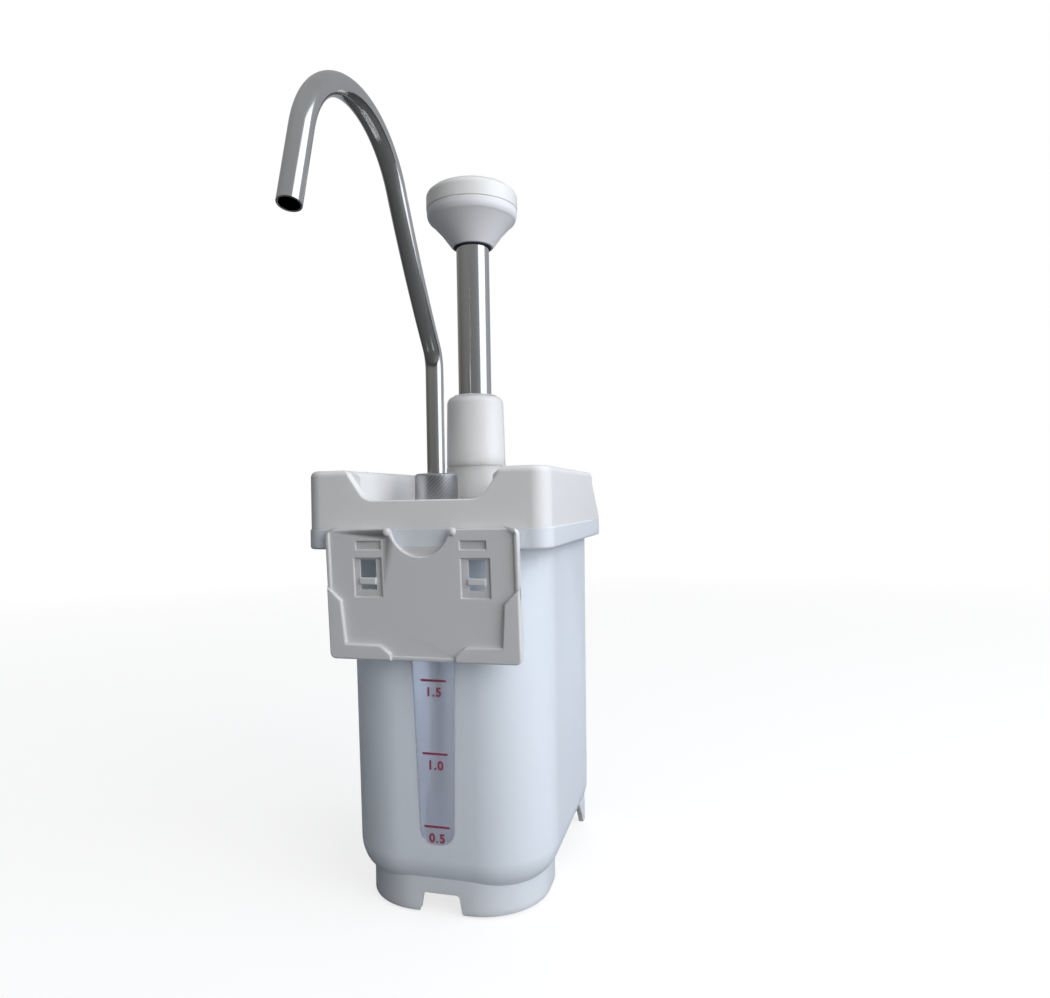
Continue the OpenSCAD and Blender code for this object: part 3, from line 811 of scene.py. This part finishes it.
def plate():
    """Flat card plate with rounded corners, front face on the plane y = 0."""
    panel = block("plate", (-PLATE_W / 2, 0, -PLATE_H), (PLATE_W / 2, PLATE_T, 0))
    edit()
    choose(lambda p: True, "EDGE")
    keep_depth_edges()
    bpy.ops.mesh.bevel(offset=PLATE_CORNER * MM, segments=5, affect="EDGES")
    outwards()
    done()
    return panel


def both_sides(piece, part, how):
    twin = mirrored(part)
    combine(piece, part, how)
    combine(piece, twin, how)


def make_label_holder():
    body = plate()
    both_sides(body, block("slot", (21, -1, -10), (34.5, 1.1, -5.6)), "DIFFERENCE")
    both_sides(body, block("pocket", (21, -1, -34), (36, 1.3, -14.4)), "DIFFERENCE")
    both_sides(body, block("window", (24.4, -3, -24.6), (33.4, 4, -15.2)), "DIFFERENCE")
    both_sides(body, block("tongue_gap", (24.4, 0, -30.6), (33.4, 4, -27.6)), "DIFFERENCE")
    both_sides(body, block("tongue", (24.4, 0.1, -27.8), (33.4, 1.6, -24.4)), "UNION")
    bite = rod("bite", 15.8, -10, 10, sides=64)
    bite.rotation_euler.x = radians(90)
    bite.location.z = 2 * MM
    combine(body, apply_place(bite))
    soften(body, 0.5, lambda p: p.y < 0.6)
    edge, low = -PLATE_W / 2, -PLATE_H
    turn_x, turn_low, turn_high = edge + PLATE_CORNER, low + PLATE_CORNER, -PLATE_CORNER
    lip_outline = ([(edge, -34), (-48.6, -34), (-48.6, -0.11)]
                   + arc(turn_x, turn_high, PLATE_CORNER, 108, 180, 4))
    both_sides(body, stood_up("lip", lip_outline, -1.3, 1, 0.8), "UNION")
    retainer_outline = ([(edge, -28.6), (-43, -36), (-41.4, -57.8), (-22.6, -58.2), (-17, -62.8),
                         (-17, low)] + arc(turn_x, turn_low, PLATE_CORNER, 270, 180, 5))
    both_sides(body, stood_up("retainer", retainer_outline, -2.2, 1, 1.1), "UNION")
    sill = [(-18, low), (18, low), (18, low + 2), (-18, low + 2)]
    add(body, stood_up("sill", sill, -0.9, 1, 0.5))
    add(body, block("bite_web", (-13, PLATE_T - 0.3, -16.5), (13, PLATE_T + 0.35, -8.5)))
    hooks = block("hook", (22, PLATE_T - 0.4, -14.6), (34, PLATE_T + 5.6, -12.6))
    add(hooks, block("catch", (22, PLATE_T + 3.4, -14.6), (34, PLATE_T + 5.6, -8.6)))
    both_sides(body, hooks, "UNION")
    both_sides(body, block("tab", (22, PLATE_T - 0.4, -1.5), (34, PLATE_T + 3.2, -0.5)), "UNION")
    body.name = "card_plate"
    for side in (-1, 1):
        nub = turned("nub", arc(0.2, -0.1, 2.0, -60, 80, 8), sides=24)
        nub.rotation_euler.x = radians(90)
        nub.location = (side * 17.4 * MM, 0.6 * MM, -1.4 * MM)
        add(body, apply_place(nub))
    body.matrix_world = (Matrix.Translation((0, PLATE_FRONT * MM, (SEAM - 0.2) * MM))
                         @ Matrix.Rotation(PLATE_LEAN, 4, "X"))
    apply_place(body)
    settle(body, "container", "label_holder", plate_white_shaded)


# ---- lid ----------------------------------------------------------------------------

def deck_shape(name, draw_in, low):
    piece = outline(name, LID_W - 2 * draw_in, LID_FRONT + draw_in, DECK_REAR - draw_in, low,
                    LID_CORNER - draw_in, LID_CORNER - draw_in, 8)
    push(z=DECK - DECK_ROUND - low - draw_in)
    round_in(DECK_ROUND, 6)
    outwards()
    done()
    return piece


def ledge_shape(name, draw_in, low):
    """Rear grip ledge: its sides flare a little, its back slopes from the deck to the rim."""
    stations = [(SEAM + 2.0, 77.6), (SEAM + 4.4, 75.8), (SEAM + 24.6, 58.4)]
    corner = LID_CORNER - draw_in
    z, rear = low, 77.8 - draw_in
    piece = outline(name, LEDGE_W - 2 * draw_in, 0, rear, low, 0, corner, 8)
    for above, back in stations:
        above, back = above - draw_in, back - draw_in
        push(z=above - z)
        taper = 1 - 0.021 * (above - z) / 24.6
        stretch(taper, 1)
        choose(lambda p: abs(p.z - above) < 0.01 and p.y > rear - corner - 0.01)
        shift(y=back - rear)
        choose(lambda p: abs(p.z - above) < 0.01, "FACE")
        z, rear = above, back
    choose(lambda p: p.y < 20)
    stretch(LEDGE_FRONT_W / LEDGE_W, 1)
    outwards()
    done()
    return piece


def well_shape():
    """The open well: filleted floor, flared mouth."""
    front = LID_FRONT + LID_WALL
    middle, half = (front + WELL_REAR) / 2, (WELL_REAR - front) / 2
    piece = outline("well", 2 * WELL_HALF, front, WELL_REAR, WELL_FLOOR + FLOOR_FILLET,
                    6, 10, 8)
    steps = 8
    turns = [k * pi / 2 / steps for k in range(steps + 1)]
    for a, b in zip(turns, turns[1:]):
        inset(FLOOR_FILLET * (cos(a) - cos(b)), FLOOR_FILLET * (sin(a) - sin(b)))
    choose(lambda p: abs(p.z - WELL_FLOOR - FLOOR_FILLET) < 0.01, "EDGE")
    pull_edges(z=DECK - MOUTH - WELL_FLOOR - FLOOR_FILLET)
    for a, b in zip(turns, turns[1:]):
        old, new = MOUTH * (1 - cos(a)), MOUTH * (1 - cos(b))
        pull_edges(z=MOUTH * (sin(b) - sin(a)))
        stretch((WELL_HALF + new) / (WELL_HALF + old), (half + new) / (half + old), (0, middle))
    pull_edges(z=4)
    bpy.ops.mesh.edge_face_add()
    outwards()
    done()
    return piece


def notch_shape():
    """Cut through the front wall: sloping ends that run into the flare of the well's mouth."""
    end = [(NOTCH_HALF, SILL)] + arc(WELL_HALF + MOUTH, DECK - MOUTH, MOUTH + 0.04, 155, 90, 6)
    end.append((WELL_HALF + MOUTH, DECK + 6))
    cutter = stood_up("notch_cut", end + [(-x, z) for x, z in reversed(end)],
                      LID_FRONT - 5, LID_FRONT + 5.3)
    activate(cutter)
    edit()
    choose(lambda p: abs(abs(p.x) - NOTCH_HALF) < 0.01 and abs(p.z - SILL) < 0.01, "EDGE")
    keep_depth_edges()
    bpy.ops.mesh.bevel(offset=4.5 * MM, segments=6, affect="EDGES")
    outwards()
    done()
    return cutter


def round_notch(lid):
    """Round the front edge of the notch and the inner edge of its sill."""
    activate(lid)
    edit()
    reach = WELL_HALF + MOUTH
    choose(lambda p: abs(p.y - LID_FRONT) < 0.02 and abs(p.x) < reach and p.z > SILL - 0.02,
           "EDGE")
    bpy.ops.mesh.bevel(offset=0.9 * MM, segments=3, affect="EDGES")
    choose(lambda p: abs(p.y - LID_FRONT - LID_WALL) < 0.02 and abs(p.z - SILL) < 0.02, "EDGE")
    bpy.ops.mesh.bevel(offset=0.9 * MM, segments=3, affect="EDGES")
    done()


def lip(name, draw_in, low, high):
    return prism(name, TANK_W - 2 * WALL - 1.2 - 2 * draw_in, TANK_FRONT + WALL + 0.8 + draw_in,
                 TANK_REAR - WALL - 0.6 - draw_in, low, high, 33.6 - draw_in, 6.6 - draw_in, 12)


def make_lid():
    lid = deck_shape("lid_shell", 0, SEAM)
    add(lid, ledge_shape("ledge", 0, SEAM))
    hollow = deck_shape("hollow", 2.6, SEAM - 2)
    add(hollow, ledge_shape("ledge_hollow", 2.6, SEAM - 2))
    combine(hollow, prism("well_wall", 2 * WELL_HALF + 5.2, LID_FRONT - 3, WELL_REAR + 2.6,
                          WELL_FLOOR - 3, DECK + 5, 3, 12.6))
    combine(lid, hollow)
    combine(lid, well_shape())
    combine(lid, rod("pump_hole", 14.3, 180, 240, (0, PUMP_Y)))
    combine(lid, rod("spout_hole", 7.3, 180, 240, (SPOUT_X, SPOUT_Y)))
    combine(lid, notch_shape())
    round_notch(lid)
    seat = lip("lid_lip", 0, lid_low.z, SEAM + 2.4)
    combine(seat, lip("lip_hollow", 2, lid_low.z - 1, SEAM + 5))
    add(lid, seat)
    settle(lid, "lid_assembly", "lid", lid_white)


# ---- pump and knob ------------------------------------------------------------------

def make_knob():
    axis = (0, PUMP_Y)
    low = knob_low.z
    body = turned("knob_cone", [(10.1, low + 2)] + arc(11.6, low + 0.6, 0.6, 180, 270, 3)
                  + arc(12.2, low + 0.8, 0.8, -90, -38, 4)
                  + [(18.9, low + 8.4), (25.0, low + 15.0)]
                  + arc(21.5, low + 19.6, 6.0, -40, 0, 8) + [(27.5, low + 21.6)]
                  + arc(27.1, low + 21.6, 0.4, 0, 90, 3) + [(10, low + 22)], axis, 128)
    settle(body, "plunger", "knob_body", knob_white, 50)
    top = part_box("knob_cap")[1].z / MM
    cap = turned("knob_dome", [(10, low + 22)] + arc(27.2, low + 22.6, 0.6, -90, 0, 3)
                 + arc(24.0, low + 29.4, 3.8, 0, 62, 10)
                 + [(24.6, top - 5.0), (22.6, top - 4.0), (19.5, top - 2.9), (16, top - 2.0),
                    (12, top - 1.2), (8, top - 0.55), (4, top - 0.15), (1, top - 0.02)],
                 axis, 128)
    settle(cap, "plunger", "knob_cap", cap_white, 50)
    ring = turned("knob_seal", [(10.1, low - 0.4)] + arc(11.0, low - 0.1, 0.5, -90, 0, 4)
                  + [(11.5, low + 1.9), (10.1, low + 1.9)], axis, 96, True)
    settle(ring, "plunger", "knob_ring", ring_dark)
    tube_low, tube_high = span("plunger_tube")
    tube = turned("plunger_shaft", [(8.5, tube_low.z), (9.7, tube_low.z), (10, tube_low.z + 0.3),
                                    (10, tube_high.z), (8.5, tube_high.z)], axis, 96, True)
    settle(tube, "plunger", "plunger_tube", bright_steel)


def make_spring():
    """Return spring: a coil wound at one fixed length (the real spring squashes as the plunger
    goes down).
    """
    low, high = (corner.z for corner in span("return_spring"))
    wire, radius, coils = 0.8, 9.2, 12
    bpy.ops.object.select_all(action="DESELECT")
    bpy.ops.mesh.primitive_circle_add(vertices=10, radius=wire * MM, rotation=(radians(90), 0, 0),
                                      location=(radius * MM, 0, (low + wire) * MM))
    coil = started("plunger_spring")
    winding = coil.modifiers.new("winding", "SCREW")
    winding.axis = "Z"
    winding.angle = 2 * pi
    winding.screw_offset = (high - low - 2 * wire) / coils * MM
    winding.iterations = coils
    winding.steps = 24
    activate(coil)
    bpy.ops.object.modifier_apply(modifier=winding.name)
    edit()
    bpy.ops.mesh.select_all(action="SELECT")
    bpy.ops.mesh.fill_holes(sides=0)
    bpy.ops.mesh.select_all(action="SELECT")
    shift(y=PUMP_Y)
    outwards()
    done()
    settle(coil, "lid_assembly", "return_spring", spring_wire, 60)
    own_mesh(coil)


def make_sleeve():
    axis = (0, PUMP_Y)
    low, high = (corner.z for corner in span("guide_sleeve"))
    sleeve = turned("sleeve", [(14.2, low + 2.5), (14.2, low + 6.4), (17.6, low + 6.4),
                               (17.9, low + 6.7), (17.7, low + 20), (17.35, low + 36)]
                    + arc(12.6, high - 5.2, 4.6, 8, 82, 8)
                    + arc(12.9, high - 0.9, 0.9, 85, 180, 5)
                    + [(12.2, high - 3.9), (10.7, high - 3.9), (10.7, low + 2.5)], axis, 96, True)
    settle(sleeve, "lid_assembly", "guide_sleeve", sleeve_white)
    collar = turned("collar", [(14.2, 216.1)] + arc(19.0, 216.7, 0.6, -90, 0, 3)
                    + [(19.2, 221.8), (18.6, 229), (18.1, 234.4)]
                    + arc(17.4, 236.0, 0.5, 0, 90, 3) + [(14.2, 236.5)], axis, 96, True)
    settle(collar, "lid_assembly", "collar_nut", sleeve_white)


# ---- spout --------------------------------------------------------------------------

def make_nut():
    """Union nut: chamfered ends and a band of raised diamonds."""
    axis = (SPOUT_X, SPOUT_Y)
    low, high = spout_low.z, spout_high.z
    rows, count = 12, 64
    band_low, band_high = low + 1.2, high - 1.2
    valley, peak = 11.55, 12.0
    band = [(valley, band_low + (band_high - band_low) * i / rows) for i in range(rows + 1)]
    nut = turned("spout_union", [(8.1, low), (11.0, low), (11.5, low + 0.6)] + band
                 + [(11.5, high - 0.6), (10.8, high), (5.6, high), (5.6, high - 3.4),
                    (8.1, high - 3.4)], axis, count, True)
    activate(nut)
    edit()
    pitch = (band_high - band_low) / rows

    def raised(p):
        if not band_low - 0.01 < p.z < band_high + 0.01:
            return False
        around = Vector((p.x - axis[0], p.y - axis[1])).angle_signed(Vector((1, 0)))
        place = round((around / (2 * pi)) * count) + round((p.z - band_low) / pitch)
        return place % 2 == 0 and hypot(p.x - axis[0], p.y - axis[1]) > 11

    choose(raised)
    stretch(peak / valley, peak / valley, axis)
    done()
    settle(nut, "lid_assembly", "spout_nut", knurl, 25)


def make_spout():
    """Gooseneck drawn along its own line: upright, bend, easing leg, arch, outlet leg."""
    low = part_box("spout_tube")[0].z / MM
    bpy.ops.object.select_all(action="DESELECT")
    bpy.ops.mesh.primitive_circle_add(vertices=48, radius=5 * MM,
                                      location=(SPOUT_X * MM, SPOUT_Y * MM, low * MM))
    tube = started("gooseneck")
    edit()
    bpy.ops.mesh.select_mode(type="EDGE")
    bpy.ops.mesh.select_all(action="SELECT")
    forward, up, lean = 0.0, 289.0, 0.0
    pull_edges(z=up - low)
    ease = radians(8)
    for radius, turn, steps in ((22, radians(36.5), 14), (-82 / ease, -ease, 10),
                                (48, radians(164 - 28.5), 60)):
        centre = (forward + radius * cos(lean), up - radius * sin(lean))
        bpy.ops.mesh.spin(steps=steps, angle=-turn, axis=(1, 0, 0),
                          center=(SPOUT_X * MM, (SPOUT_Y - centre[0]) * MM, centre[1] * MM))
        lean += turn
        forward, up = centre[0] - radius * cos(lean), centre[1] + radius * sin(lean)
    pull_edges(y=-35 * sin(lean), z=35 * cos(lean))
    outwards()
    done()
    thicken(tube, 0.8)
    soften(tube, 0.15, lambda p: True, 60, 2)
    settle(tube, "spout", "spout_tube", bright_steel, 50)


# ---- pieces kept from the frame -------------------------------------------------------

def dress_kept_pieces():
    finishes = {"pump_plastic": pump_white, "white_plastic": lid_white, "steel": bright_steel,
                "seal_rubber": seal_black, "ring_rubber": ring_dark, "spring_steel": spring_wire,
                "sleeve_plastic": sleeve_white}
    for part in frame["record"]["subparts"]:
        node = frame["nodes"][part["node"]]
        if not node.hide_render:
            node.data.materials.clear()
            node.data.materials.append(finishes[part["material_slot"]])


# ---- room and light -------------------------------------------------------------------

def make_floor():
    bpy.ops.object.select_all(action="DESELECT")
    bpy.ops.mesh.primitive_plane_add(size=30)
    floor = bpy.context.object
    floor.name = "floor"
    material, tree, shader = begin_material("floor_paper")
    place = make(tree, "ShaderNodeTexCoord")
    far = make(tree, "ShaderNodeVectorMath", operation="LENGTH")
    tree.links.new(place.outputs["Object"], far.inputs[0])
    fade = make(tree, "ShaderNodeMapRange")
    fade.inputs["From Min"].default_value = 0.35
    fade.inputs["From Max"].default_value = 1.8
    tree.links.new(far.outputs["Value"], fade.inputs["Value"])
    noise = make(tree, "ShaderNodeTexNoise", Scale=40.0, Detail=3.0)
    tree.links.new(place.outputs["Object"], noise.inputs["Vector"])
    near = mix_colour(tree, noise.outputs[0], (0.29, 0.29, 0.29, 1), (0.31, 0.31, 0.31, 1))
    tone = mix_colour(tree, fade.outputs[0], near, (0.0, 0.0, 0.0, 1))
    glow = mix_colour(tree, fade.outputs[0], (0.76, 0.76, 0.76, 1), (1.0, 1.0, 1.0, 1))
    tree.links.new(tone, shader.inputs["Base Color"])
    tree.links.new(glow, shader.inputs["Emission Color"])
    shader.inputs["Emission Strength"].default_value = 1.0
    shader.inputs["Roughness"].default_value = 0.9
    shader.inputs["Specular IOR Level"].default_value = 0.0
    ray = make(tree, "ShaderNodeLightPath")
    dim = make(tree, "ShaderNodeBsdfDiffuse", Color=(0.16, 0.16, 0.16, 1))
    blend = make(tree, "ShaderNodeMixShader")
    tree.links.new(ray.outputs["Is Camera Ray"], blend.inputs[0])
    tree.links.new(dim.outputs[0], blend.inputs[1])
    tree.links.new(shader.outputs[0], blend.inputs[2])
    tree.links.new(blend.outputs[0], tree.nodes["Material Output"].inputs["Surface"])
    floor.data.materials.append(material)


def area_light(name, place, aim, size, power, colour, mirrored_in_steel=True):
    lamp = bpy.data.lights.new(name, "AREA")
    lamp.shape = "RECTANGLE"
    lamp.size, lamp.size_y = size
    lamp.energy = power
    lamp.color = colour
    lamp_object = bpy.data.objects.new(name, lamp)
    lamp_object.location = place
    lamp_object.rotation_euler = (Vector(aim) - Vector(place)).to_track_quat("-Z", "Y").to_euler()
    lamp_object.visible_camera = False
    lamp_object.visible_glossy = mirrored_in_steel
    lamp_object.visible_transmission = mirrored_in_steel
    bpy.context.scene.collection.objects.link(lamp_object)


def make_light():
    """A tall window to the right, soft fill in front, a ceiling lamp and light in the tank."""
    area_light("window_right", (1.45, -0.12, 0.85), (0, 0.03, 0.2), (1.4, 1.6), 11.2,
               (0.87, 0.94, 1.04))
    area_light("room_fill", (1.12, -0.75, 0.62), (0, 0.03, 0.2), (1.0, 1.1), 10.4,
               (0.99, 0.985, 0.98), False)
    area_light("ceiling", (0.25, 0.0, 1.4), (0, 0.03, 0.2), (0.8, 0.8), 1.6,
               (0.99, 0.99, 1.0), False)
    area_light("through_walls", (0.0, 0.09, 0.15), (0.0, 0.0, 0.09), (0.05, 0.1), 0.13,
               (0.9, 0.94, 1.0), False)


def make_room():
    """Soft room: bright and cool to the right, dim and warm to the left, dark in front."""
    world = bpy.data.worlds.new("room")
    world.use_nodes = True
    bpy.context.scene.world = world
    tree = world.node_tree
    tree.nodes.clear()
    place = make(tree, "ShaderNodeTexCoord")
    part = make(tree, "ShaderNodeSeparateXYZ")
    tree.links.new(place.outputs["Generated"], part.inputs[0])
    halved = math_node(tree, "MULTIPLY", part.outputs["X"], 0.5)
    across = math_node(tree, "ADD", halved, 0.5)
    sides = mix_colour(tree, across, (0.09, 0.08, 0.06, 1), (0.56, 0.60, 0.68, 1))
    ahead = ranged(tree, math_node(tree, "MULTIPLY", part.outputs["Y"], -1.0), 0, 1)
    rear_dark = mix_colour(tree, ahead, sides, (0.185, 0.185, 0.185, 1))
    behind = ranged(tree, part.outputs["Y"], 0, 0.6)
    around = mix_colour(tree, behind, rear_dark, (0.40, 0.41, 0.44, 1))
    above = ranged(tree, part.outputs["Z"], 0, 1)
    room = mix_colour(tree, above, around, (0.42, 0.43, 0.45, 1))
    soft = make(tree, "ShaderNodeBackground", Strength=1.0)
    tree.links.new(room, soft.inputs["Color"])
    backdrop = make(tree, "ShaderNodeBackground", Color=(1, 1, 1, 1), Strength=1.0)
    ray = make(tree, "ShaderNodeLightPath")
    blend = make(tree, "ShaderNodeMixShader")
    tree.links.new(ray.outputs["Is Camera Ray"], blend.inputs[0])
    tree.links.new(soft.outputs[0], blend.inputs[1])
    tree.links.new(backdrop.outputs[0], blend.inputs[2])
    out = make(tree, "ShaderNodeOutputWorld")
    tree.links.new(blend.outputs[0], out.inputs["Surface"])


# ---- making ---------------------------------------------------------------------------

make_tank()
make_scale()
make_label_holder()
make_lid()
make_knob()
make_spring()
make_sleeve()
make_nut()
make_spout()
dress_kept_pieces()
make_floor()
make_light()
make_room()
bpy.context.scene.view_settings.view_transform = "Standard"
bpy.context.view_layer.update()
